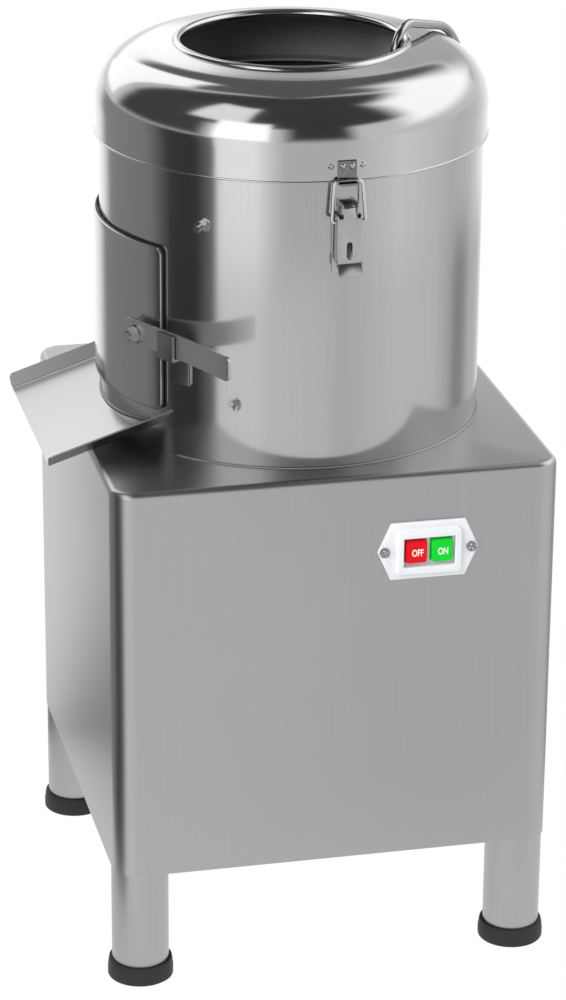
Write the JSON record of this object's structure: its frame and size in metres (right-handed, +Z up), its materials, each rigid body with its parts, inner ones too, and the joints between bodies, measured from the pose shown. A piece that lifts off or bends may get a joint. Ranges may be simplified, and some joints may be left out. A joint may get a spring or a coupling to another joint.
{
  "type": "electric potato peeler",
  "caption": "Upright electric potato peeler: a steel drum with an abrasive disc and a latched domed lid on a square motor cabinet with tube legs, a side door and a chute.",
  "frame": {"origin": "on the floor, under the drum's axis, midway between the four feet", "axes": "+Z up along the drum's axis, +X to the right as seen by the person at the switch, +Y to the rear"},
  "size_m": [0.4442, 0.447, 0.83],
  "materials": {
    "stainless": "satin brushed",
    "polished": "polished",
    "fastener": "bright",
    "grit": "rough, grit coated",
    "disc_grit": "rough, grit coated",
    "rubber": "matte",
    "seal": "matte",
    "cast": "machined casting",
    "pulley": "machined",
    "bearing": "polished",
    "belt": "fabric covered",
    "zinc": "zinc plated",
    "motor": "grey enamel",
    "windings": "varnished",
    "shaft": "turned",
    "black_plastic": "matte",
    "capacitor": "matte",
    "brass": "machined",
    "white_plastic": "satin",
    "red_plastic": "gloss",
    "green_plastic": "gloss"
  },
  "bodies": {
    "frame": {"cabinet_shell": "stainless", "back_panel": "stainless", "back_panel_screws": "fastener", "legs": "stainless", "foot_caps": "rubber", "drum": "stainless", "drum_floor": "stainless", "abrasive_liner": "grit", "liner_bolts": "fastener", "chute": "stainless", "drum_hinge_leaf": "fastener", "hinge_pin": "fastener", "lever_catch": "stainless", "latch_bases": "polished", "latch_rivets": "fastener", "bearing_housing": "cast", "housing_bolts": "fastener", "bearing_upper": "bearing", "bearing_lower": "bearing", "shaft_seal": "seal", "drive_belt": "belt", "motor_plate": "zinc", "motor_rails": "zinc", "motor_bolts": "fastener", "motor_housing": "motor", "motor_end_shields": "motor", "motor_stator": "windings", "fan_cover": "motor", "terminal_box": "motor", "run_capacitor": "capacitor", "drain_elbow": "stainless", "cable_gland": "black_plastic", "switch_plate": "white_plastic"},
    "lid": {"lid": "polished", "lid_seat_ring": "stainless", "lid_gasket": "seal", "lid_keepers": "polished", "keeper_rivets": "fastener", "water_pipe": "polished", "pipe_clip": "polished", "hose_tail": "brass"},
    "latch_lever_front": {"latch_lever_front": "polished"},
    "latch_bail_front": {"latch_bail_front": "polished"},
    "latch_lever_rear": {"latch_lever_rear": "polished"},
    "latch_bail_rear": {"latch_bail_rear": "polished"},
    "door": {"door": "stainless", "door_seal": "seal", "door_hinge_leaf": "fastener", "lever_bolt": "fastener", "lever_nut": "fastener"},
    "door_lever": {"door_lever": "stainless"},
    "disc_drive": {"abrasive_disc": "disc_grit", "disc_cap_nut": "polished", "spindle": "shaft", "driven_pulley": "pulley"},
    "motor_drive": {"motor_rotor": "shaft", "motor_fan": "black_plastic", "motor_pulley": "pulley"},
    "button_off": {"button_off": "red_plastic"},
    "button_on": {"button_on": "green_plastic"}
  },
  "joints": [
    {"name": "lid_lift", "type": "slide", "parent": "frame", "child": "lid", "axis": [0, 0, 1], "range_m": [0, 0.3]},
    {"name": "latch_front_swing", "type": "hinge", "parent": "frame", "child": "latch_lever_front", "pos_m": [0.00853, -0.1808, 0.713], "axis": [-0.9989, -0.0471, 0], "range_deg": [0, 135]},
    {"name": "bail_front_swing", "type": "hinge", "parent": "latch_lever_front", "child": "latch_bail_front", "pos_m": [0.00853, -0.1808, 0.702], "axis": [-0.9989, -0.0471, 0], "range_deg": [-135, 0]},
    {"name": "latch_rear_swing", "type": "hinge", "parent": "frame", "child": "latch_lever_rear", "pos_m": [-0.00853, 0.1808, 0.713], "axis": [0.9989, 0.0471, 0], "range_deg": [0, 135]},
    {"name": "bail_rear_swing", "type": "hinge", "parent": "latch_lever_rear", "child": "latch_bail_rear", "pos_m": [-0.00853, 0.1808, 0.702], "axis": [0.9989, 0.0471, 0], "range_deg": [-135, 0]},
    {"name": "door_swing", "type": "hinge", "parent": "frame", "child": "door", "pos_m": [-0.13123, 0.12026, 0.5895], "axis": [0, 0, -1], "range_deg": [0, 105]},
    {"name": "door_lever_turn", "type": "hinge", "parent": "door", "child": "door_lever", "pos_m": [-0.159, -0.08959, 0.582], "axis": [-0.8712, -0.4909, 0], "range_deg": [0, 70]},
    {"name": "disc_spin", "type": "hinge", "parent": "frame", "child": "disc_drive", "pos_m": [0, 0, 0.4], "axis": [0, 0, 1], "continuous": true},
    {"name": "motor_spin", "type": "hinge", "parent": "frame", "child": "motor_drive", "pos_m": [0.095, 0.095, 0.2], "axis": [0, 0, 1], "continuous": true},
    {"name": "button_off_press", "type": "slide", "parent": "frame", "child": "button_off", "axis": [0, 1, 0], "range_m": [0, 0.003], "stiffness_N_per_m": 300},
    {"name": "button_on_press", "type": "slide", "parent": "frame", "child": "button_on", "axis": [0, 1, 0], "range_m": [0, 0.003], "stiffness_N_per_m": 300}
  ],
  "couplings": [
    {"joint": "bail_front_swing", "follows": "latch_front_swing", "ratio": -1},
    {"joint": "bail_rear_swing", "follows": "latch_rear_swing", "ratio": -1},
    {"joint": "motor_spin", "follows": "disc_spin", "ratio": 3.75}
  ]
}
